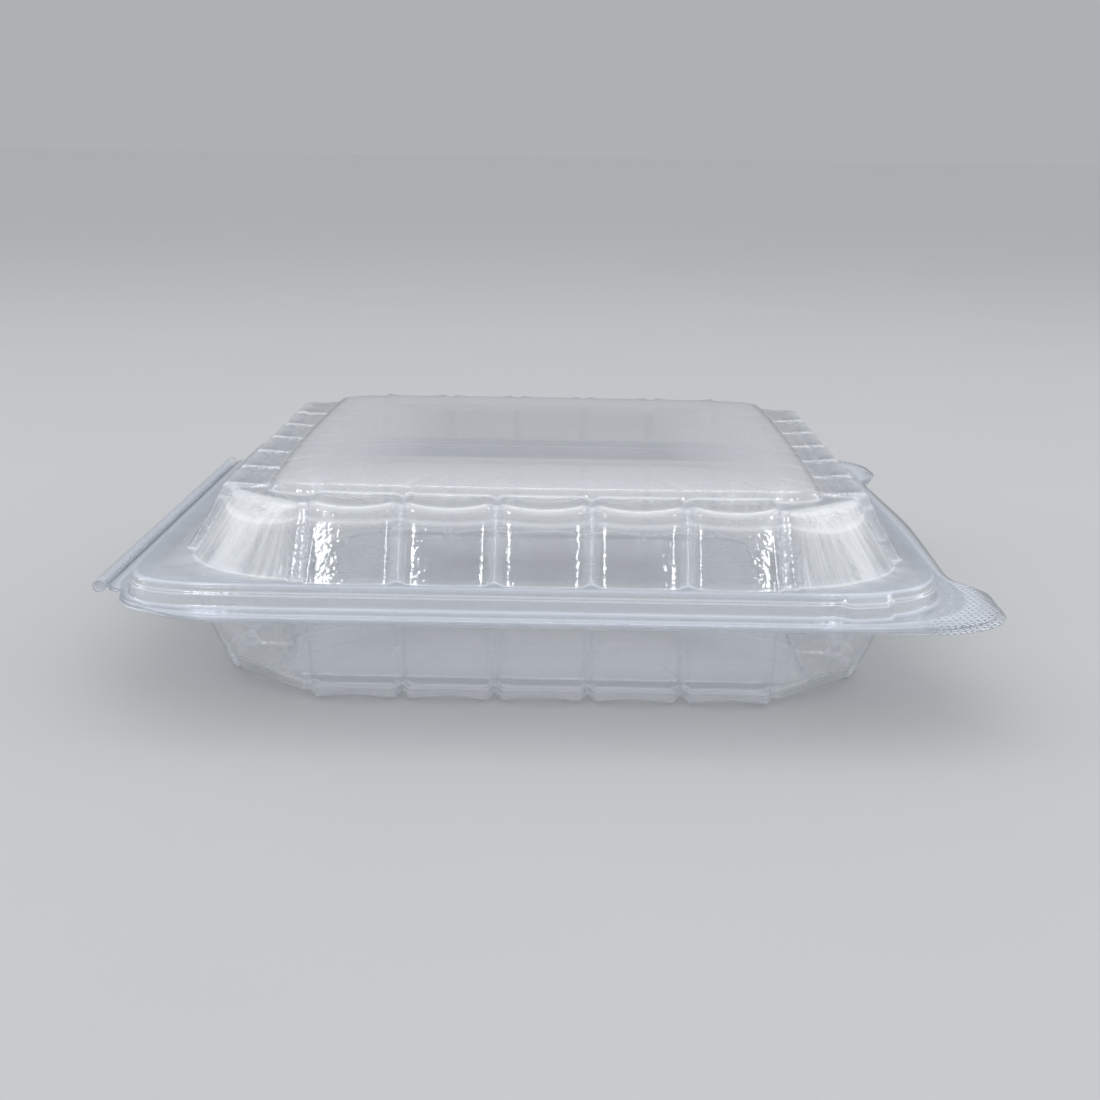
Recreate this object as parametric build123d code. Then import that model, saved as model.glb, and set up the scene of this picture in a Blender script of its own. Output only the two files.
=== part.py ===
from build123d import *
import os

# A clear thermoformed hinged pack: a deep base tray, a lid of the same plan and the
# formed hinge bead between them. X runs from the hinge (-X) to the pull tabs (+X),
# Y runs along the hinge, Z is up. The origin is on the ground under the middle of
# the bounding box. All sizes are in millimetres.

# sheet and running clearances
sheet = 0.5
nest_gap = 0.35
seam_gap = 0.3
hinge_gap = 0.3

# heights
base_depth = 28.2
lid_rise = 28.2
ledge_rise = 6.5
plateau_rise = 3.4
hump_rise = 1.5

# plan of the tray walls, as half sizes
foot_half_x = 98.5
foot_half_y = 99.5
shoulder_half_x = 88.0
shoulder_half_y = 90.5
base_rim_half_x = 99.0
base_rim_half_y = 98.6
base_foot_half_x = 87.5
base_foot_half_y = 91.0
foot_corner = 36.0
shoulder_corner = 27.0

# fluted walls
flute_proud = 3.0
front_flutes = 5
front_pitch = 24.9
side_flutes = 6
side_pitch = 23.0
flute_groove = 4.6
flute_round = 2.6

# corner facet, measured along each wall from the corner of the shoulder
facet_cut = 16.0
facet_drop = 5.0
facet_slope = 1.2
facet_over = 1.0
facet_past = 10.0

# raised platform round the lid, and flange
platform_hinge_side = 108.5
platform_tab_side = 105.0
platform_half_y = 101.2
platform_draft = 1.4
platform_corner = 11.0
tab_cut_x = 15.0
tab_cut_y = 35.0
tab_cut_knee = (6.0, 10.0)
tab_cut_round = 4.0
flange_half_y = 112.0
flange_tab_side = 114.5
flange_corner = 8.0
flange_round = 4.0
flange_notch = 27.0

# plateau of the lid and recess of the base
plateau_half_x = 73.5
plateau_half_y = 75.5
plateau_corner = 15.0
plateau_draft = 1.5
recess_half_x = 74.0
recess_half_y = 80.0
recess_rise = 3.4
recess_corner = 12.0

# hinge bead and pull tabs
hinge_reach = 120.7
bead_radius = 1.9
hinge_half_length = 83.0
tab_reach = 120.7
tab_start = 46.0
tab_nose = 17.0
tab_end = 22.0
tab_foot = 24.0
tab_lap = 2.5

# snap bump on the skirt
snap_width = 13.0
snap_proud = 3.0
snap_height = 5.8
snap_from_tab_side = 22.5

seam_z = base_depth
lid_seam_z = seam_z + seam_gap
hinge_x = -(hinge_reach - bead_radius)
hinge_z = seam_z + seam_gap / 2
flange_hinge_side = hinge_x + bead_radius + hinge_gap
fuse_lap = 0.4


def frustum(z_low, size_low, z_high, size_high, mid_x=0.0):
    """A solid between two rounded rectangles. Each size is (half x, half y, corner)."""
    rings = []
    for z, (half_x, half_y, corner) in ((z_low, size_low), (z_high, size_high)):
        ring = RectangleRounded(2 * half_x, 2 * half_y, corner)
        rings.append(Pos(mid_x, 0, z) * ring)
    return loft(rings, ruled=True)


def platform_plan():
    """The outline of the platform on the ledge's level. Its two tab-side corners are cut off."""
    knee_x, knee_y = tab_cut_knee
    half = [
        (-platform_hinge_side, -platform_half_y),
        (platform_tab_side - tab_cut_x, -platform_half_y),
        (platform_tab_side - knee_x, -(platform_half_y - knee_y)),
        (platform_tab_side, -(platform_half_y - tab_cut_y)),
    ]
    other = [(x, -y) for x, y in reversed(half)]
    plan = make_face(Polyline(*half, *other, close=True))
    hinge_side = plan.vertices().group_by(Axis.X)[0]
    plan = fillet(hinge_side, platform_corner)
    tab_side = [v for v in plan.vertices() if v.X > platform_tab_side - tab_cut_x - 1]
    return fillet(tab_side, tab_cut_round)


def platform(z_low, z_high, inset):
    """The platform as a full solid that narrows upwards by its draft."""
    plan = platform_plan()
    low = offset(plan, platform_draft - inset, kind=Kind.INTERSECTION)
    high = offset(plan, -inset, kind=Kind.INTERSECTION) if inset else plan
    return loft([Pos(0, 0, z_low) * low, Pos(0, 0, z_high) * high], ruled=True)


def shrunk(size, inset):
    """A rounded rectangle's size with its outline moved in by inset."""
    half_x, half_y, corner = size
    return (half_x - inset, half_y - inset, max(corner - inset, 0.6))


def flute(z_root, z_top, reach_root, reach_top, depth, width, inset):
    """One raised panel that faces -Y: its section in Y and Z is pushed along X by its width."""
    round_size = flute_round - inset
    section = Polyline(
        (-(reach_root - depth), z_root),
        (-(reach_root - inset), z_root),
        (-(reach_top - inset), z_top - inset),
        (-(reach_top - depth), z_top - inset),
        close=True,
    )
    profile = Plane.YZ * make_face(section)
    crest = profile.vertices().sort_by(Axis.Z)[-2:].sort_by(Axis.Y)[0]
    profile = fillet(crest, round_size)
    return extrude(profile, amount=width / 2 - inset, both=True)


def flutes(z_root, z_top, size_root, size_top, inset=0.0):
    """All the raised panels of a tray's four walls. Rows face -Y, +Y, -X and +X."""
    rows = (
        (front_flutes, front_pitch, size_root[1], size_top[1], 0),
        (front_flutes, front_pitch, size_root[1], size_top[1], 180),
        (side_flutes, side_pitch, size_root[0], size_top[0], -90),
        (side_flutes, side_pitch, size_root[0], size_top[0], 90),
    )
    panels = []
    for count, pitch, reach_root, reach_top, turn in rows:
        depth = reach_top - plateau_half_x + 2.0
        panel = flute(z_root, z_top, reach_root, reach_top, depth, pitch - flute_groove, inset)
        for i in range(count):
            place = (i - (count - 1) / 2) * pitch
            panels.append(Rot(0, 0, turn) * Pos(place, 0, 0) * panel)
    return panels


def facet_cutters(z_top, size_top):
    """Four wedges that cut a sloping facet off the corners of a shoulder."""
    reach_x = size_top[0] - flute_proud
    reach_y = size_top[1] - flute_proud
    low = facet_cut - facet_drop * facet_slope
    cutters = []
    for turn_x in (-1, 1):
        for turn_y in (-1, 1):
            rings = []
            for z, cut in ((z_top + facet_over, facet_cut + facet_over * facet_slope), (z_top - facet_drop, low)):
                inner_x = (turn_x * (reach_x - cut), turn_y * (reach_y + facet_past), z)
                inner_y = (turn_x * (reach_x + facet_past), turn_y * (reach_y - cut), z)
                outer = (turn_x * (reach_x + facet_past), turn_y * (reach_y + facet_past), z)
                rings.append(make_face(Polyline(inner_x, outer, inner_y, close=True)))
            cutters.append(loft(rings, ruled=True))
    return cutters


def tray(z_root, z_top, size_root, size_top, inset=0.0):
    """The walls and end of a tray as a full solid: a round-cornered core and its flutes."""
    core_root = shrunk(size_root, flute_proud + inset)
    core_top = shrunk(size_top, flute_proud + inset)
    z_core = z_top - hump_rise - inset
    core = frustum(z_root, core_root, z_core, core_top)
    for cutter in facet_cutters(z_core, shrunk(size_top, inset)):
        core -= cutter
    return core + flutes(z_root, z_top, size_root, size_top, inset)


def lid_body(inset=0.0):
    """The lid above its flange, as a full solid, with every face moved in by inset."""
    ledge_z = lid_seam_z + ledge_rise
    top_z = lid_seam_z + lid_rise - seam_gap
    shoulder_z = top_z - plateau_rise + hump_rise
    plateau_top = (plateau_half_x, plateau_half_y, plateau_corner)
    plateau_low = shrunk(plateau_top, -plateau_draft)
    skirt_drop = fuse_lap if inset else 0.0
    body = platform(lid_seam_z - skirt_drop, ledge_z - inset, inset)
    foot = (foot_half_x, foot_half_y, foot_corner)
    shoulder = (shoulder_half_x, shoulder_half_y, shoulder_corner)
    body += tray(ledge_z - sheet - fuse_lap, shoulder_z, foot, shoulder, inset)
    body += frustum(
        shoulder_z - 2 * hump_rise,
        shrunk(plateau_low, inset),
        top_z - inset,
        shrunk(plateau_top, inset),
    )
    return body


def flange(z_low, thickness, tab_shift):
    """The flat flange with its two pull tabs. The hinge side has a cut at each corner."""
    notch_y = hinge_half_length + 1.5
    notch_x = flange_hinge_side + flange_notch
    half = [
        (flange_hinge_side, -notch_y),
        (notch_x - flange_notch * 0.45, -(notch_y + (flange_half_y - notch_y) * 0.72)),
        (notch_x, -flange_half_y),
        (tab_reach - tab_foot - tab_shift, -flange_half_y),
        (tab_reach - tab_nose / 2, -(flange_half_y - tab_nose / 2 + tab_shift)),
        (tab_reach, -(flange_half_y - tab_end + tab_shift)),
        (tab_reach, -(flange_half_y - tab_start + flange_corner)),
        (flange_tab_side, -(flange_half_y - tab_start)),
    ]
    other = [(x, -y) for x, y in reversed(half)]
    plate = make_face(Polyline(*half, *other, close=True))
    inner_corners = [v for v in plate.vertices() if v.X > flange_hinge_side + 1]
    plate = fillet(inner_corners, flange_round)
    return extrude(Pos(0, 0, z_low) * plate, amount=thickness)


def snap_bumps(z_low, inset=0.0):
    """Two snap bumps that stand out from the skirt near the tabs."""
    bumps = []
    reach = platform_half_y + platform_draft
    for side in (-1, 1):
        size_low = (snap_width / 2 - inset, snap_proud + 1.0 - inset, 1.6)
        size_high = (snap_width / 2 - 1.0 - inset, snap_proud + 0.2 - inset, 1.2)
        bump = frustum(z_low, size_low, z_low + snap_height - inset, size_high)
        bumps.append(Pos(platform_tab_side - snap_from_tab_side, side * (reach - 1.0), 0) * bump)
    return bumps


def make_lid():
    skin = flange(lid_seam_z, sheet, 0.0) + lid_body() + snap_bumps(lid_seam_z)
    hollow = lid_body(sheet) + snap_bumps(lid_seam_z - fuse_lap, sheet)
    return skin - hollow


def make_base():
    """The base: flange, a raised bead that nests in the lid's skirt, walls, foot and recess."""
    bead_top_z = lid_seam_z + ledge_rise - sheet - nest_gap
    outside = sheet + nest_gap
    rim = (base_rim_half_x, base_rim_half_y, foot_corner)
    foot = (base_foot_half_x, base_foot_half_y, shoulder_corner)
    wall_top = shrunk(rim, flute_proud)
    flute_z = seam_z - 2 * sheet

    def upside_down(solid):
        return Pos(0, 0, seam_z) * Rot(180, 0, 0) * solid

    def walls(inset):
        below = upside_down(tray(seam_z - flute_z, seam_z, rim, foot, inset))
        over = 1.0 if inset else 0.0
        neck = frustum(flute_z, shrunk(wall_top, inset), bead_top_z + over, shrunk(wall_top, inset))
        return below + neck

    bead = platform(seam_z - sheet, bead_top_z, outside)
    skin = flange(seam_z - sheet, sheet, tab_lap) + bead + walls(0.0)
    under_bead = platform(seam_z - sheet - fuse_lap, bead_top_z - sheet, outside + sheet)
    recess_low = (recess_half_x, recess_half_y, recess_corner)
    recess_high = shrunk(recess_low, plateau_draft)
    outer_recess = frustum(-fuse_lap, recess_low, recess_rise, recess_high)
    raised_floor = frustum(0, shrunk(recess_low, -sheet), recess_rise + sheet, shrunk(recess_high, -sheet))
    inner = walls(sheet) - raised_floor
    return skin - inner - (under_bead - walls(0.0)) - outer_recess


def make_hinge():
    """The hinge bead: a formed tube along the hinge axis, open towards the flanges."""
    ring = Circle(bead_radius) - Circle(bead_radius - sheet)
    mouth = Pos(bead_radius, 0) * Rectangle(bead_radius * 1.4, seam_gap)
    section = Plane.XZ * (ring - mouth)
    bead = extrude(section, amount=hinge_half_length, both=True)
    return Pos(hinge_x, 0, hinge_z) * bead


os.makedirs("parts", exist_ok=True)
nodes = {"base_tray": make_base(), "lid": make_lid(), "living_hinge": make_hinge()}
for name, solid in nodes.items():
    solid.label = name
    export_step(solid, f"parts/{name}.step")
    box = solid.bounding_box()
    print(name, "solids", len(solid.solids()), "volume", round(solid.volume), "mm3", box.min, box.max)
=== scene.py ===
import math

import bpy
import numpy as np
from mathutils import Matrix, Vector


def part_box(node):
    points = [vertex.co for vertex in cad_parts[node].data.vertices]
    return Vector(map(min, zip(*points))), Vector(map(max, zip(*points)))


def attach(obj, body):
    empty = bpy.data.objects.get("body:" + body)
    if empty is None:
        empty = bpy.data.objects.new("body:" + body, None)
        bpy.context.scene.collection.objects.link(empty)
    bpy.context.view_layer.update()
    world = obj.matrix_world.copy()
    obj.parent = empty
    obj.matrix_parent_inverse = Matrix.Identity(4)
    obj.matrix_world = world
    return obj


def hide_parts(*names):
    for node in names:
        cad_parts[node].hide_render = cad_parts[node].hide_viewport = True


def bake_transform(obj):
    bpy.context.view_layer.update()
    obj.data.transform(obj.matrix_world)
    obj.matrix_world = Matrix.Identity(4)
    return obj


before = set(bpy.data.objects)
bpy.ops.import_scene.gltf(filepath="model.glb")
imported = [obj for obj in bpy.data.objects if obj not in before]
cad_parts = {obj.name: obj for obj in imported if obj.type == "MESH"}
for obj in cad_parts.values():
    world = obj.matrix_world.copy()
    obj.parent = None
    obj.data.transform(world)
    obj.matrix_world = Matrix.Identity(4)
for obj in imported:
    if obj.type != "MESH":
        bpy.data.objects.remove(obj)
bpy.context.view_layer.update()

MM = 0.001

# Heights and sizes in millimetres, taken from the frame's own boxes.
base_low, base_high = (np.array(corner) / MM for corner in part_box("base_tray"))
lid_low, lid_high = (np.array(corner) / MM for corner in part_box("lid"))
hinge_low, hinge_high = (np.array(corner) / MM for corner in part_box("living_hinge"))

SHEET = 0.4
SEAM_GAP = 0.3
LID_SEAM = lid_low[2]
LID_TOP = lid_high[2]
BASE_SEAM = LID_SEAM - SEAM_GAP
LEDGE = LID_SEAM + 6.5
SHOULDER = LID_TOP - 3.4
FOOT = 1.5
RECESS = 3.4
BEAD_TOP = base_high[2]
FLANGE_Y = lid_high[1] - 0.1
TAB_X = lid_high[0]
FLANGE_HINGE_X = lid_low[0]

# Half lengths of the straight, fluted stretches of the walls.
SPAN_X = 64.0
SPAN_Y = 70.5

# The flutes: how far apart and how many, half a groove's width, how far a panel stands out and
# its crown as a share of that. The corners' edges dip by the sag.
FRONT_PITCH = 24.9
SIDE_PITCH = 23.0
FRONT_FLUTES = 5
SIDE_FLUTES = 6
GROOVE_HALF = 2.5
FLUTE_PROUD = 2.9
PANEL_CROWN = 0.42
CORNER_SAG = 2.6

# Half sizes of the platform that the lid's walls stand on, and the powers that shape corners.
PLATFORM_HINGE_X = 108.5
PLATFORM_TAB_X = 105.0
PLATFORM_Y = 101.2
PLATFORM_HINGE_POWER = 0.42
PLATFORM_TAB_POWER = 0.75
WALL_POWER = 1.12
SKIRT_FLARE = 1.4
NEST = 0.85 + SHEET

# Where the lugs and the snap bumps stand along the front and rear walls, and how far out a point
# has to be to belong to such a wall.
LUG_X = FRONT_FLUTES * FRONT_PITCH / 2 + 0.6
LUG_WALL_Y = 88.0
SNAP_X = TAB_X - 37.5
SNAP_WALL_Y = 90.0

# The knurled grip on the tabs: the middle and half length of its stretch along the side, how it
# fades at both ends, and where it starts and is full, going out from the lid.
GRIP_Y = FLANGE_Y - 16.0
GRIP_HALF = 26.0
GRIP_FADE = 6.0
GRIP_X = 96.0
GRIP_X_FADE = 8.0

# The hinge bead: its radius, and how wide its mouth is as an angle.
BEAD_RADIUS = 1.9
BEAD_MOUTH = 0.28

# The floor's half size in metres, the strength of the sky that lights the pack, and the colour
# behind it.
FLOOR_REACH = 40.0
SKY = 0.86
BACKDROP = (0.425, 0.437, 0.454)

# The row, counted from the edge, whose distances round the sheet its map takes.
MAP_ROW = -8

# What each number of a station means, in order.
COLUMNS = (
    "scale", "hinge_x", "tab_x", "half_y", "hinge_k", "tab_k", "z", "proud", "hump",
    "dip", "sag", "bow", "snap", "lug", "lip", "haze", "frost", "blue",
)


def station(rounding=0.0, steps=0, **values):
    """One corner of a section: the outline's size there, its height, and how far it is rounded.
    steps is the number of extra rows in the stretch that follows it."""
    row = np.zeros(len(COLUMNS))
    row[COLUMNS.index("scale")] = 1.0
    for name, value in values.items():
        row[COLUMNS.index(name)] = value
    return row, rounding, steps


def section_rows(stations, arc_rows=5):
    """Rounds a section's corners. Each corner is a quadratic Bezier arc between the points that lie
    its rounding before and after it, and the stretches between arcs are straight. Returns the rows
    and how strongly each one bends."""
    rows, bends = [], []
    move = [COLUMNS.index(name) for name in ("hinge_x", "half_y", "z")]
    for i, (here, rounding, steps) in enumerate(stations):
        if 0 < i < len(stations) - 1 and rounding > 0:
            before, after = stations[i - 1][0], stations[i + 1][0]
            gap_before = np.linalg.norm((here - before)[move]) + 1e-9
            gap_after = np.linalg.norm((here - after)[move]) + 1e-9
            start = here + (before - here) * min(rounding / gap_before, 0.45)
            end = here + (after - here) * min(rounding / gap_after, 0.45)
            for t in np.linspace(0, 1, arc_rows):
                rows.append((1 - t) ** 2 * start + 2 * t * (1 - t) * here + t * t * end)
                bends.append(math.sin(math.pi * t) ** 0.7 if 0 < t < 1 else 0.25)
        else:
            rows.append(here)
            bends.append(0.0)
        if i < len(stations) - 1 and steps:
            last = rows[-1]
            following = stations[i + 1]
            gap = np.linalg.norm((following[0] - here)[move]) + 1e-9
            stop = following[0] + (here - following[0]) * min(following[1] / gap, 0.45)
            for t in np.linspace(0, 1, steps + 2)[1:-1]:
                rows.append(last + (stop - last) * t)
                bends.append(0.0)
    return np.array(rows), np.array(bends)


def perimeter():
    """The samples round the pack, counter-clockwise from above. Each has its place along a straight
    stretch, or its angle round a corner, from 0 on a front or rear wall to 90 degrees on a side."""
    per_panel = np.sin(np.linspace(-1, 1, 23)[:-1] * math.pi / 2)

    def stretch(count, pitch, span):
        mids = (np.arange(count) - (count - 1) / 2) * pitch
        inside = (mids[:, None] + per_panel[None] * pitch / 2).ravel()
        end = count * pitch / 2
        outer = np.array([(end + span) / 2])
        return np.concatenate([-np.array([span]), -outer, inside, [end], outer]) / span

    corner = np.linspace(0, math.pi / 2, 52)[:-1]
    along_x = stretch(FRONT_FLUTES, FRONT_PITCH, SPAN_X)
    along_y = stretch(SIDE_FLUTES, SIDE_PITCH, SPAN_Y)
    none_x, none_y = np.zeros_like(along_x), np.zeros_like(along_y)
    quarter = np.full_like(along_y, math.pi / 2)
    one = np.ones_like(corner)
    parts = [
        (along_x, -1 + none_x, np.sign(along_x) + (along_x == 0), -1 + none_x, none_x, 0),
        (one, -one, one, -one, corner, 1),
        (1 + none_y, along_y, 1 + none_y, np.sign(along_y) + (along_y == 0), quarter, 2),
        (one, one, one, one, math.pi / 2 - corner, 1),
        (-along_x, 1 + none_x, -np.sign(along_x) - (along_x == 0), 1 + none_x, none_x, 0),
        (-one, one, -one, one, corner, 1),
        (-1 - none_y, -along_y, -1 - none_y, -np.sign(along_y) - (along_y == 0), quarter, 2),
        (-one, -one, -one, -one, math.pi / 2 - corner, 1),
    ]
    across = [np.concatenate([part[i] for part in parts]) for i in range(5)]
    kind = np.concatenate([np.full(len(part[0]), part[5]) for part in parts])
    return dict(cx=across[0], cy=across[1], sx=across[2], sy=across[3], angle=across[4], kind=kind)


def flute_shape(ring):
    """How far each sample stands on a flute: 0 in a groove and 1 on a panel, with the panel's own
    crown, which is 1 in its middle and falls as a parabola to 0 at its grooves."""
    place = np.where(ring["kind"] == 0, ring["cx"] * SPAN_X, ring["cy"] * SPAN_Y)
    pitch = np.where(ring["kind"] == 0, FRONT_PITCH, SIDE_PITCH)
    count = np.where(ring["kind"] == 0, FRONT_FLUTES, SIDE_FLUTES)
    reach = count * pitch / 2
    within = (place + reach) / pitch % 1.0
    from_groove = np.minimum(within, 1 - within) * pitch
    rise = np.clip(from_groove / GROOVE_HALF, 0, 1)
    rise = rise * rise * (3 - 2 * rise)
    on_wall = (ring["kind"] != 1) & (np.abs(place) < reach)
    crown = 1 - (2 * within - 1) ** 2
    return np.where(on_wall, rise, 0.0), np.where(on_wall, crown, 0.0)


def rounded_outline(corners, arc_points=9):
    """A closed outline from rows of x, y and a cut. Each corner becomes a quadratic Bezier arc between
    the points that lie its cut away along both of its edges."""
    place, cut = corners[:, :2], corners[:, 2]
    before, after = np.roll(place, 1, axis=0), np.roll(place, -1, axis=0)
    share_before = np.minimum(cut / np.linalg.norm(before - place, axis=1), 0.48)[:, None]
    share_after = np.minimum(cut / np.linalg.norm(after - place, axis=1), 0.48)[:, None]
    start = (place + (before - place) * share_before)[:, None]
    end = (place + (after - place) * share_after)[:, None]
    t = np.linspace(0, 1, arc_points)[None, :, None]
    return ((1 - t) ** 2 * start + 2 * t * (1 - t) * place[:, None] + t * t * end).reshape(-1, 2)


def flange_outline(tab):
    """The corners of the flange: an S-shaped cut at each end of the hinge and a pull tab at each far
    corner. tab lists the tab's own corners from the front edge round to the side."""
    hinge_end = hinge_high[1]
    half = [
        (FLANGE_HINGE_X, -(hinge_end + 1.0), 2.5),
        (FLANGE_HINGE_X + 6.0, -(hinge_end + 5.0), 3.5),
        (FLANGE_HINGE_X + 8.0, -(hinge_end + 14.0), 5.0),
        (FLANGE_HINGE_X + 17.0, -(FLANGE_Y - 7.0), 5.0),
        (FLANGE_HINGE_X + 29.0, -FLANGE_Y, 9.0),
        *tab,
        (TAB_X - 5.4, -8.0, 30.0),
    ]
    other = [(x, -y, cut) for x, y, cut in reversed(half)]
    return rounded_outline(np.array(half + other))


LID_TAB = [
    (TAB_X - 34.0, -FLANGE_Y, 8.0),
    (TAB_X - 21.0, -(FLANGE_Y - 2.4), 5.0),
    (TAB_X - 11.5, -(FLANGE_Y - 6.4), 4.0),
    (TAB_X - 5.0, -(FLANGE_Y - 12.0), 4.0),
    (TAB_X - 1.3, -(FLANGE_Y - 19.5), 4.0),
    (TAB_X - 0.4, -(FLANGE_Y - 37.0), 5.0),
    (TAB_X - 8.0, -(FLANGE_Y - 48.0), 7.0),
]
BASE_TAB = [
    (TAB_X - 30.0, -FLANGE_Y, 6.0),
    (TAB_X - 17.0, -(FLANGE_Y - 1.0), 5.0),
    (TAB_X - 7.0, -(FLANGE_Y - 6.0), 5.0),
    (TAB_X - 0.8, -(FLANGE_Y - 14.0), 5.0),
    (TAB_X - 0.2, -(FLANGE_Y - 26.0), 5.0),
    (TAB_X - 3.0, -(FLANGE_Y - 42.0), 6.0),
    (TAB_X - 8.0, -(FLANGE_Y - 52.0), 7.0),
]


def outline_at(outline, angles):
    """Where rays from the origin at these angles meet a closed outline."""
    following = np.roll(outline, -1, axis=0)
    share = np.arange(30)[None, :, None] / 30
    outline = (outline[:, None] * (1 - share) + following[:, None] * share).reshape(-1, 2)
    turned = np.arctan2(outline[:, 1], outline[:, 0])
    reach = np.hypot(outline[:, 0], outline[:, 1])
    order = np.argsort(np.mod(turned, 2 * math.pi))
    at, reach = np.mod(turned, 2 * math.pi)[order], reach[order]
    distance = np.interp(np.mod(angles, 2 * math.pi), at, reach, period=2 * math.pi)
    return distance * np.cos(angles), distance * np.sin(angles)


def smooth_box(value, middle, half, edge):
    """1 within half of the middle, falling to 0 over the edge beyond it, as a smooth step."""
    t = np.clip((half + edge - np.abs(value - middle)) / edge, 0, 1)
    return t * t * (3 - 2 * t)


def tray_surface(name, stations, outline, up):
    """A formed half of the pack: its section is carried round its perimeter. At each sample the
    outline is a straight wall or a corner whose x and y go with powers of the sine and cosine of
    its angle, pushed out by the flutes, the bow, the snap bump and the lugs. up is +1 for the lid
    and -1 for the base, whose flutes stand downwards."""
    rows, bends = section_rows(stations)
    value = {key: rows[:, i][:, None] for i, key in enumerate(COLUMNS)}
    ring = {key: array[None, :] for key, array in perimeter().items()}
    rise, crown = flute_shape(ring)
    sine, cosine = np.sin(ring["angle"]), np.cos(ring["angle"])
    corner = np.where(ring["kind"] == 1, np.sin(2 * ring["angle"]), 0.0)
    half_x = np.where(ring["sx"] < 0, value["hinge_x"], value["tab_x"])
    power = np.where(ring["sx"] < 0, value["hinge_k"], value["tab_k"])
    sine_part = np.clip(sine, 0, 1) ** power
    x = SPAN_X * ring["cx"] + ring["sx"] * (half_x - SPAN_X) * sine_part
    cosine_part = np.clip(cosine, 0, 1) ** power
    y = SPAN_Y * ring["cy"] + ring["sy"] * (value["half_y"] - SPAN_Y) * cosine_part
    out_x, out_y = ring["sx"] * sine, ring["sy"] * cosine
    along = np.where(ring["kind"] == 0, ring["cx"], ring["cy"])
    bow = np.where(ring["kind"] == 1, 0.0, 1 - along**2)
    out = value["proud"] * (rise + PANEL_CROWN * crown * rise) + value["bow"] * bow
    lug_at = smooth_box(np.abs(x), LUG_X, 2.6, 0.9)
    snap_at = smooth_box(x, SNAP_X, 5.0, 1.8) * (np.abs(y) > SNAP_WALL_Y)
    front = np.where(np.abs(y) > LUG_WALL_Y, 1.0, 0.0)
    x = x + out_x * out
    y = y + out_y * out + np.sign(y) * front * (value["lug"] * lug_at + value["snap"] * snap_at)
    x, y = value["scale"] * x, value["scale"] * y
    edge_x, edge_y = outline_at(outline, np.arctan2(y[-2], x[-2]))
    x = x * (1 - value["lip"]) + edge_x[None] * value["lip"]
    y = y * (1 - value["lip"]) + edge_y[None] * value["lip"]
    z = value["z"] + up * (value["hump"] * rise - value["dip"] * crown * rise - value["sag"] * corner)
    points = np.stack([x, y, z + np.zeros_like(x)], -1)
    on_grip = smooth_box(np.abs(y), GRIP_Y, GRIP_HALF, GRIP_FADE)
    on_grip = on_grip * np.clip((x - GRIP_X) / GRIP_X_FADE, 0, 1)
    masks = {
        "haze": value["haze"] + np.zeros_like(x),
        "frost": value["frost"] * np.clip(corner * 2.2, 0, 1),
        # The bends' share is partly real whitening of the formed sheet and partly a painted highlight along
        # its edges.
        "bend": bends[:, None] + np.zeros_like(x),
        "blue": value["blue"] + np.zeros_like(x),
        "grip": on_grip * np.clip(value["lip"] * 3 - 0.3, 0, 1),
        # The grooves' share is a painted highlight that makes them read as bright lines.
        "groove": (1 - rise) * np.where(ring["kind"] == 1, 0, 1) * np.clip(value["proud"] / 3, 0, 1),
    }
    step = np.linalg.norm(np.diff(points, axis=1, append=points[:, :1]), axis=-1)
    # One row's distances serve every row, so that streaks run straight down the sheet.
    around = np.broadcast_to(np.cumsum(step, axis=1)[MAP_ROW][None], step.shape)
    down = np.cumsum(np.linalg.norm(np.diff(points, axis=0, prepend=points[:1]), axis=-1), axis=0)
    return sheet_mesh(name, points, masks, around, down, up)


def sheet_mesh(name, points, masks, around, down, up):
    """A mesh from a grid that closes round the pack. Its first row shrinks to one middle point, so
    a fan of triangles closes the pole. The map holds distances round and down the sheet."""
    rows, columns = points.shape[:2]
    body = points[1:].reshape(-1, 3)
    middle = points[0].mean(0)[None]
    vertices = np.concatenate([middle, body]) * MM
    i = np.arange(columns)
    j = (i + 1) % columns
    fan = np.stack([np.zeros_like(i), 1 + i, 1 + j], 1)
    start = 1 + np.arange(rows - 2)[:, None] * columns
    quads = np.stack([start + i, start + columns + i, start + columns + j, start + j], -1).reshape(-1, 4)
    faces = [tuple(face) for face in (fan if up > 0 else fan[:, ::-1]).tolist()]
    faces += [tuple(face) for face in (quads if up > 0 else quads[:, ::-1]).tolist()]
    mesh = bpy.data.meshes.new(name)
    mesh.from_pydata(vertices.tolist(), [], faces)
    for key, grid in masks.items():
        layer = mesh.attributes.new(key, "FLOAT", "POINT")
        values = np.concatenate([[grid[0].mean()], grid[1:].ravel()])
        layer.data.foreach_set("value", values.astype(np.float32))
    coords = np.concatenate([[[0, 0]], np.stack([around[1:], down[1:]], -1).reshape(-1, 2)]) * MM
    corner_vertex = np.zeros(len(mesh.loops), np.int32)
    mesh.loops.foreach_get("vertex_index", corner_vertex)
    chart = mesh.uv_layers.new(name="sheet_map")
    chart.data.foreach_set("uv", coords[corner_vertex].astype(np.float32).ravel())
    mesh.shade_smooth()
    mesh.validate()
    piece = bpy.data.objects.new(name, mesh)
    bpy.context.scene.collection.objects.link(piece)
    return piece


def thicken(piece):
    """Gives a sheet its thickness, inwards from the side that it was drawn on."""
    solid = piece.modifiers.new("sheet", "SOLIDIFY")
    solid.thickness = SHEET * MM
    solid.offset = -1
    solid.use_even_offset = False
    solid.use_rim = True
    return piece


def square_ring(half_x, half_y, power=WALL_POWER):
    """The size of an outline that is alike at its hinge side and its tab side."""
    return dict(hinge_x=half_x, tab_x=half_x, half_y=half_y, hinge_k=power, tab_k=power)


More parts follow.
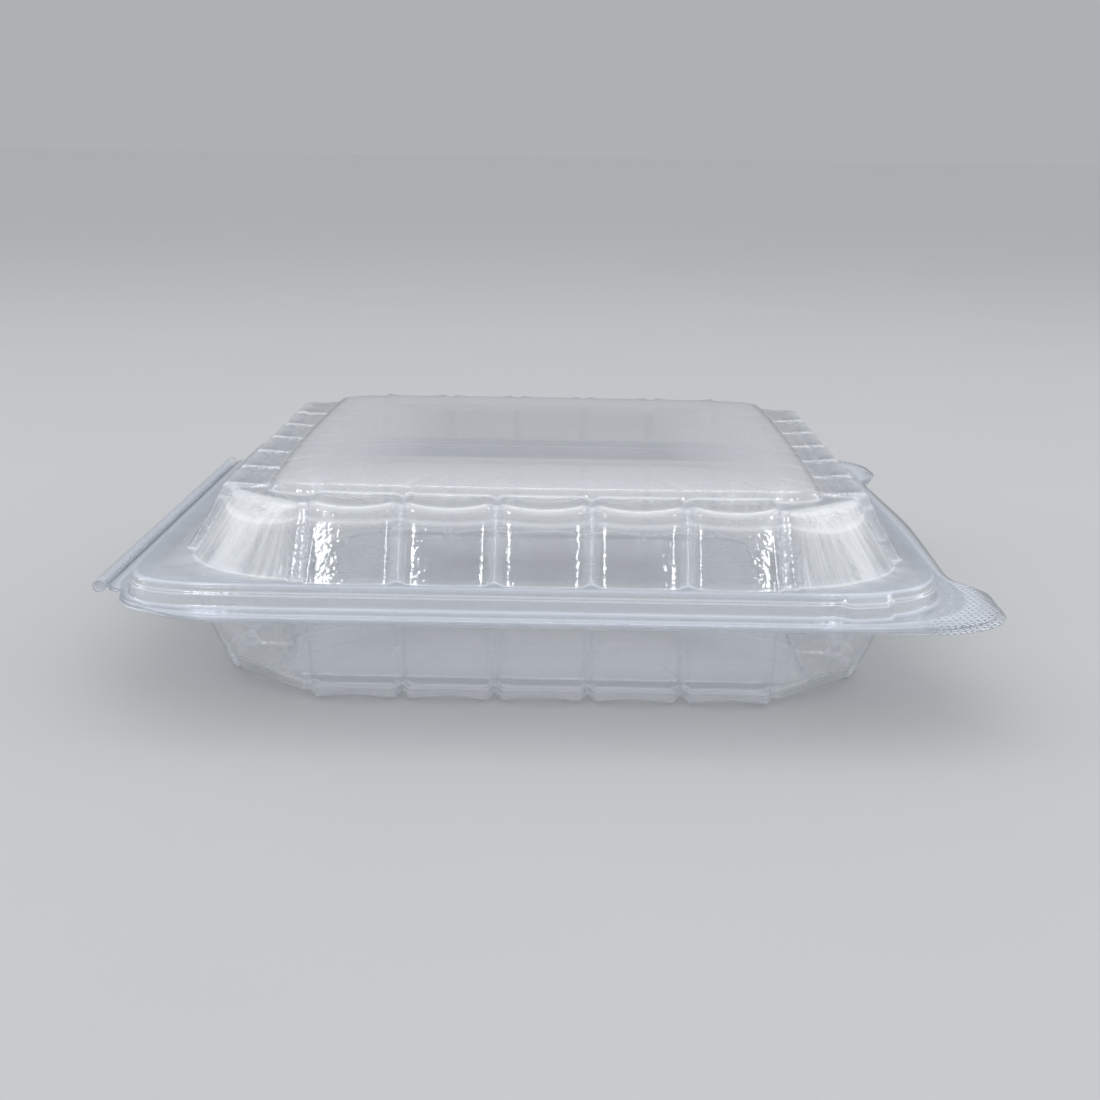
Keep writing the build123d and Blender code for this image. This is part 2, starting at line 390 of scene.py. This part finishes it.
def platform_ring(grow):
    """The size of the platform's outline, larger than its top edge by grow all round."""
    return dict(
        hinge_x=PLATFORM_HINGE_X + grow,
        tab_x=PLATFORM_TAB_X + grow,
        half_y=PLATFORM_Y + grow,
        hinge_k=PLATFORM_HINGE_POWER,
        tab_k=PLATFORM_TAB_POWER,
    )


def lip_stations(z, rise):
    """The last two rows of either half: the flange's root and its edge."""
    root = dict(platform_ring(0.0), hinge_x=112.0, tab_x=109.5, half_y=106.0)
    return [
        station(0.5, z=z + rise, haze=0.12, blue=0.8, lip=0.35, **root),
        station(z=z, haze=0.3, blue=0.5, lip=1.0, **root),
    ]


def make_lid():
    """The lid from the middle of its top outwards: top, rim, shoulder, wall, ledge, skirt, lip."""
    top = dict(square_ring(73.5, 75.3, 1.0), bow=1.6, haze=0.12, z=LID_TOP)
    lip_z = LID_SEAM + SHEET
    stations = [
        station(steps=7, **{**top, "scale": 0.0}),
        station(1.3, **top),
        station(0.9, 3, **square_ring(75.0, 76.8, 1.05), z=SHOULDER, bow=1.6, hump=0.9),
        station(2.4, **square_ring(84.6, 87.0, 2.0), z=SHOULDER, proud=FLUTE_PROUD, hump=2.0, dip=1.9,
                haze=0.08, frost=0.1),
        station(1.0, 8, **square_ring(86.4, 88.6, 1.24), z=SHOULDER - 3.4, proud=FLUTE_PROUD, hump=0.5,
                dip=0.6, sag=CORNER_SAG, haze=0.05, frost=0.9),
        station(0.8, 1, **square_ring(95.4, 96.4), z=LEDGE, proud=FLUTE_PROUD, lug=1.6, haze=0.06,
                frost=0.8, blue=0.3),
        station(1.0, **platform_ring(0.0), z=LEDGE, haze=0.2, blue=1.0),
        station(0.5, **platform_ring(0.4), z=LEDGE - 2.2, snap=2.4, haze=0.05),
        station(0.5, **platform_ring(0.9), z=LEDGE - 2.8, snap=2.6, haze=0.05),
        station(0.8, **platform_ring(SKIRT_FLARE), z=lip_z, snap=2.8, haze=0.08, blue=0.6),
    ]
    stations += lip_stations(lip_z, 0.35)
    return thicken(tray_surface("lid_sheet", stations, flange_outline(LID_TAB), 1))


def make_base():
    """The base from the middle of its floor outwards: recess, foot, wall, neck, rim bead, lip."""
    floor = dict(square_ring(72.6, 78.6, 1.0), haze=0.12, z=RECESS)
    lip_z = BASE_SEAM - SHEET
    bead_z = BEAD_TOP - SHEET
    stations = [
        station(steps=7, **{**floor, "scale": 0.0}),
        station(1.2, **floor),
        station(0.9, 3, **square_ring(74.0, 80.0, 1.05), z=FOOT, hump=1.0, haze=0.1),
        station(2.0, **square_ring(84.0, 87.4, 2.0), z=FOOT - 0.5, proud=FLUTE_PROUD, hump=1.5, dip=1.9,
                haze=0.08, frost=0.1),
        station(1.0, 8, **square_ring(85.6, 88.4, 1.24), z=FOOT + 3.0, proud=FLUTE_PROUD, hump=0.5,
                dip=0.6, sag=CORNER_SAG, haze=0.05, frost=0.5),
        station(0.8, **square_ring(95.8, 95.4), z=BASE_SEAM - 1.6, proud=FLUTE_PROUD, haze=0.05, frost=0.45),
        station(0.4, **square_ring(96.0, 95.6), z=BASE_SEAM - 0.7, haze=0.05),
        station(0.7, 1, **square_ring(96.0, 95.6), z=bead_z, haze=0.08),
        station(0.8, **platform_ring(-NEST), z=bead_z, haze=0.1),
        station(0.8, **platform_ring(SKIRT_FLARE - NEST), z=lip_z, haze=0.08),
    ]
    stations += lip_stations(lip_z, 0.1)
    return thicken(tray_surface("base_sheet", stations, flange_outline(BASE_TAB), -1))


def make_hinge():
    """The hinge bead: a drop-shaped loop carried along Y. Its radius about the hinge axis narrows
    towards the mouth, and swells and thins slightly along its length."""
    axis_x = hinge_low[0] + BEAD_RADIUS
    axis_z = (hinge_low[2] + hinge_high[2]) / 2
    turn = np.linspace(BEAD_MOUTH, 2 * math.pi - BEAD_MOUTH, 33)
    length = np.linspace(hinge_low[1], hinge_high[1], 121)
    pinch = 1 - 0.12 * np.cos(turn) ** 3
    radius = (BEAD_RADIUS - 0.05) * np.minimum(pinch, 1.0)
    away = np.stack([np.cos(turn), np.sin(turn)], -1)
    outer = np.array([axis_x, axis_z]) + radius[:, None] * away
    inner = np.array([axis_x, axis_z]) + (radius - SHEET)[:, None] * away
    loop = np.concatenate([outer, inner[::-1]])
    wave = 1 - 0.02 * (1 + np.sin(length * 0.21)) / 2
    around, along = len(loop), len(length)
    middle = np.array([axis_x, axis_z])
    grid = middle + (loop[None] - middle) * wave[:, None, None]
    points = np.stack([grid[..., 0], np.broadcast_to(length[:, None], grid.shape[:2]), grid[..., 1]], -1)
    i = np.arange(around)
    j = (i + 1) % around
    start = np.arange(along - 1)[:, None] * around
    quads = np.stack([start + i, start + j, start + around + j, start + around + i], -1).reshape(-1, 4)
    half = len(turn)
    k = np.arange(half - 1)
    cap = np.stack([k, around - 1 - k, around - 2 - k, k + 1], 1)
    last = (along - 1) * around
    faces = quads.tolist() + cap.tolist() + (last + cap[:, ::-1]).tolist()
    mesh = bpy.data.meshes.new("hinge_bead")
    mesh.from_pydata((points.reshape(-1, 3) * MM).tolist(), [], faces)
    # The bead's bend share is partly real whitening of the bent sheet and partly a painted highlight along
    # it.
    amounts = {"haze": 0.25, "bend": 0.4, "blue": 0.6, "frost": 0.0, "grip": 0.0, "groove": 0.0}
    for key, amount in amounts.items():
        layer = mesh.attributes.new(key, "FLOAT", "POINT")
        layer.data.foreach_set("value", np.full(len(mesh.vertices), amount, np.float32))
    mesh.uv_layers.new(name="sheet_map")
    mesh.shade_smooth()
    piece = bpy.data.objects.new("hinge_bead", mesh)
    bpy.context.scene.collection.objects.link(piece)
    return piece


class Sock:
    """A socket or a number in a shader, with the arithmetic that builds Math nodes."""

    def __init__(self, tree, socket):
        self.tree, self.socket = tree, socket

    def _math(self, operation, *values):
        return Build(self.tree).node("ShaderNodeMath", {"operation": operation}, dict(enumerate(values)))

    def __add__(self, other):
        return self._math("ADD", self, other)

    def __rsub__(self, other):
        return self._math("SUBTRACT", other, self)

    def __mul__(self, other):
        return self._math("MULTIPLY", self, other)

    def __truediv__(self, other):
        return self._math("DIVIDE", self, other)

    def __pow__(self, other):
        return self._math("POWER", self, other)

    def clamped(self):
        return self._math("MINIMUM", self._math("MAXIMUM", self, 0.0), 1.0)


class Build:
    """Makes nodes in one material's tree."""

    def __init__(self, tree):
        self.tree = tree

    def node(self, kind, settings=None, inputs=None, out=0):
        made = self.tree.nodes.new(kind)
        for name, value in (settings or {}).items():
            if name == "stops":
                ramp = made.color_ramp.elements
                while len(ramp) < len(value):
                    ramp.new(0.5)
                for element, (place, shade) in zip(ramp, value):
                    element.position = place
                    element.color = (shade, shade, shade, 1.0)
            else:
                setattr(made, name, value)
        for key, value in (inputs or {}).items():
            if isinstance(value, Sock):
                self.tree.links.new(value.socket, made.inputs[key])
            else:
                made.inputs[key].default_value = value
        return Sock(self.tree, made.outputs[out]) if made.outputs else None

    def attribute(self, name):
        return self.node("ShaderNodeAttribute", {"attribute_name": name}, out="Fac")

    def mix(self, factor, a, b):
        made = self.tree.nodes.new("ShaderNodeMix")
        made.data_type = "RGBA"
        for index, value in ((0, factor), (6, a), (7, b)):
            if isinstance(value, Sock):
                self.tree.links.new(value.socket, made.inputs[index])
            else:
                made.inputs[index].default_value = (*value, 1.0)
        return Sock(self.tree, made.outputs[2])


def new_material(name):
    """An empty material and the maker of its nodes."""
    material = bpy.data.materials.new(name)
    material.use_nodes = True
    material.node_tree.nodes.clear()
    return material, Build(material.node_tree)


def clear_sheet():
    """Clear formed sheet. What the surface mirrors grows towards grazing view, as Schlick's formula says.
    Haze adds a pale, scattering share where the sheet is drawn or rubbed. At its bends that share is
    partly real whitening and partly a painted highlight along the edges, and in its grooves it is a
    painted highlight. Lamps' own light passes through the sheet with a slight tint."""
    material, make = new_material("clear_sheet")
    place = make.node("ShaderNodeTexCoord", out="Object")
    chart = make.node("ShaderNodeUVMap", {"uv_map": "sheet_map"})
    haze, frost, bend = make.attribute("haze"), make.attribute("frost"), make.attribute("bend")
    blue, grip, groove = make.attribute("blue"), make.attribute("grip"), make.attribute("groove")
    facing = make.node("ShaderNodeLayerWeight", {}, {"Blend": 0.5}, out="Facing")
    mirror = facing**5.0 * 0.94 + 0.055

    draw = make.node(
        "ShaderNodeMapping", {}, {"Vector": chart, "Rotation": (0, 0, 0.5), "Scale": (300.0, 26.0, 1.0)}
    )
    streaks = make.node(
        "ShaderNodeTexNoise", {}, {"Vector": draw, "Scale": 1.0, "Detail": 2.0, "Roughness": 0.6}
    )
    streaks = make.node("ShaderNodeValToRGB", {"stops": [(0.36, 0.15), (0.66, 1.0)]}, {"Fac": streaks})
    cloud = make.node(
        "ShaderNodeTexNoise", {}, {"Vector": place, "Scale": 22.0, "Detail": 3.0, "Roughness": 0.6}
    )
    specks = make.node("ShaderNodeTexVoronoi", {}, {"Vector": place, "Scale": 95.0, "Randomness": 1.0})
    specks = make.node("ShaderNodeValToRGB", {"stops": [(0.03, 1.0), (0.075, 0.0)]}, {"Fac": specks})
    rub = make.node(
        "ShaderNodeMapping", {}, {"Vector": place, "Rotation": (0, 0, 0.5), "Scale": (14.0, 420.0, 60.0)}
    )
    rub = make.node("ShaderNodeTexNoise", {}, {"Vector": rub, "Scale": 1.0, "Detail": 2.0})
    rub = make.node("ShaderNodeValToRGB", {"stops": [(0.6, 0.0), (0.74, 1.0)]}, {"Fac": rub})
    rows = make.node("ShaderNodeMapping", {}, {"Vector": place, "Rotation": (0, 0, 0.62)})
    dashes = make.node(
        "ShaderNodeTexBrick",
        {"offset": 0.5},
        {"Vector": rows, "Scale": 620.0, "Mortar Size": 0.24, "Mortar Smooth": 0.5, "Brick Width": 1.7,
         "Row Height": 0.85, "Color1": (0, 0, 0, 1), "Color2": (0, 0, 0, 1), "Mortar": (1, 1, 1, 1)},
    )
    knurl = grip * (1 - dashes)

    cloudy = haze * (cloud * 1.2 + 0.3)
    # The pale share: the sheet's own haze, frost streaks, knurl, specks and rubbing, plus a painted
    # highlight along the bends (partly real whitening there) and in the grooves.
    scatter_and_highlight = cloudy + frost * (streaks * 0.42 + 0.04) + bend * 0.42 + knurl * 0.6
    scatter_and_highlight = (scatter_and_highlight + specks * 0.12 * haze * 4.0 + rub * haze * 0.35 + groove * 0.16).clamped()
    seen = (mirror + scatter_and_highlight * (1 - mirror)).clamped()

    peel = make.node(
        "ShaderNodeTexNoise", {}, {"Vector": place, "Scale": 620.0, "Detail": 1.0, "Roughness": 0.55}
    )
    swell = make.node("ShaderNodeTexNoise", {}, {"Vector": place, "Scale": 46.0, "Detail": 1.0})
    height = peel * 0.8 + swell * 1.4 + knurl * 3.0
    normal = make.node("ShaderNodeBump", {}, {"Height": height, "Strength": 0.5, "Distance": 0.0003})
    warm = make.mix(frost.clamped(), (0.86, 0.88, 0.92), (0.91, 0.92, 0.93))
    colour = make.mix((blue * 0.7).clamped(), warm, (0.72, 0.79, 0.9))
    surface = make.node(
        "ShaderNodeBsdfPrincipled",
        {},
        {
            "Base Color": colour,
            "Metallic": (mirror / seen).clamped(),
            "Roughness": (frost * 0.22 + scatter_and_highlight * 0.2 + 0.07).clamped(),
            "Alpha": seen,
            "Normal": normal,
        },
    )
    shadow = make.node("ShaderNodeLightPath", out="Is Shadow Ray")
    through = make.node("ShaderNodeBsdfTransparent", {}, {"Color": (0.93, 0.94, 0.95, 1)})
    mixed = make.node("ShaderNodeMixShader", {}, {0: shadow, 1: surface, 2: through})
    make.node("ShaderNodeOutputMaterial", {}, {"Surface": mixed})
    return material


def floor_material():
    """Pale matt paper: an even grey with a faint mottle."""
    material, make = new_material("pale_floor")
    place = make.node("ShaderNodeTexCoord", out="Object")
    mottle = make.node("ShaderNodeTexNoise", {}, {"Vector": place, "Scale": 9.0, "Detail": 4.0})
    colour = make.mix(mottle, (0.5, 0.505, 0.515), (0.52, 0.525, 0.535))
    surface = make.node("ShaderNodeBsdfPrincipled", {}, {"Base Color": colour, "Roughness": 0.75})
    make.node("ShaderNodeOutputMaterial", {}, {"Surface": surface})
    return material


def make_floor():
    """A wide flat floor, FLOOR_REACH from its middle to each side."""
    reach = np.array([-FLOOR_REACH, FLOOR_REACH])
    x, y = np.meshgrid(reach, reach)
    points = np.stack([x, y, np.zeros_like(x)], -1)
    mesh = bpy.data.meshes.new("floor")
    mesh.from_pydata(points.reshape(-1, 3).tolist(), [], [[0, 1, 3, 2]])
    floor = bpy.data.objects.new("floor", mesh)
    bpy.context.scene.collection.objects.link(floor)
    floor.data.materials.append(floor_material())


def area_lamp(name, place, target, size, watts):
    """A rectangular lamp that faces its target."""
    lamp = bpy.data.lights.new(name, "AREA")
    lamp.shape = "RECTANGLE"
    lamp.size, lamp.size_y = size
    lamp.energy = watts
    holder = bpy.data.objects.new(name, lamp)
    holder.location = place
    holder.rotation_euler = (Vector(target) - Vector(place)).to_track_quat("-Z", "Y").to_euler()
    bpy.context.scene.collection.objects.link(holder)


def make_lights():
    """Five soft lamps and an even world, which the camera and the sheet see in its own colour."""
    middle = (0, 0, 0.03)
    area_lamp("top_light", (0.0, 0.6, 1.3), middle, (1.0, 0.2), 2.6)
    area_lamp("front_left_light", (-0.5, -0.95, 0.9), middle, (0.14, 0.28), 1.6)
    area_lamp("front_right_light", (0.5, -0.95, 0.9), middle, (0.14, 0.28), 1.6)
    area_lamp("left_light", (-1.1, 0.1, 0.55), middle, (0.16, 0.8), 1.6)
    area_lamp("right_light", (1.1, 0.15, 0.55), middle, (0.16, 0.8), 1.6)
    world = bpy.data.worlds.new("studio")
    world.use_nodes = True
    world.node_tree.nodes.clear()
    make = Build(world.node_tree)
    seen = make.node("ShaderNodeLightPath", out="Is Camera Ray")
    seen = seen + make.node("ShaderNodeLightPath", out="Is Glossy Ray")
    seen = seen + make.node("ShaderNodeLightPath", out="Is Transmission Ray")
    colour = make.mix(seen.clamped(), (SKY * 0.96, SKY * 0.98, SKY), BACKDROP)
    background = make.node("ShaderNodeBackground", {}, {"Color": colour})
    make.node("ShaderNodeOutputWorld", {}, {"Surface": background})
    bpy.context.scene.world = world


def make_camera():
    """The camera: tilted down a little, almost square to the front, and rolled by under a degree."""
    tilt, turn, roll = 0.2597, -0.0058, 0.016
    place = Vector((0.0039, -0.4669, 0.1425))
    forward = Vector((math.sin(turn) * math.cos(tilt), math.cos(turn) * math.cos(tilt), -math.sin(tilt)))
    right = Vector((math.cos(turn), -math.sin(turn), 0))
    down = forward.cross(right)
    across = right * math.cos(roll) - down * math.sin(roll)
    below = right * math.sin(roll) + down * math.cos(roll)
    camera = bpy.data.objects.new("camera", bpy.data.cameras.new("camera"))
    camera.data.sensor_width = 36.0
    camera.data.lens = 49.1
    aim = Matrix((across, -below, -forward)).transposed().to_4x4()
    camera.matrix_world = Matrix.Translation(place) @ aim
    bpy.context.scene.collection.objects.link(camera)
    bpy.context.scene.camera = camera


sheet = clear_sheet()
lid, base, hinge = make_lid(), make_base(), make_hinge()
for piece, node in ((lid, "lid"), (base, "base_tray"), (hinge, "living_hinge")):
    piece.data.materials.append(sheet)
    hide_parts(node)
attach(lid, "cover")
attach(base, "base")
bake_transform(hinge)
# The frame's own solids take the sheet too.
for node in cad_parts.values():
    node.data.materials.clear()
    node.data.materials.append(sheet)
make_floor()
make_lights()
make_camera()
scene = bpy.context.scene
scene.view_settings.view_transform = "Standard"
# Both walls of both halves lie behind one another, so a ray passes many sheets.
scene.cycles.transparent_max_bounces = 16
scene.cycles.max_bounces = 5
scene.cycles.diffuse_bounces = 1
scene.cycles.glossy_bounces = 3
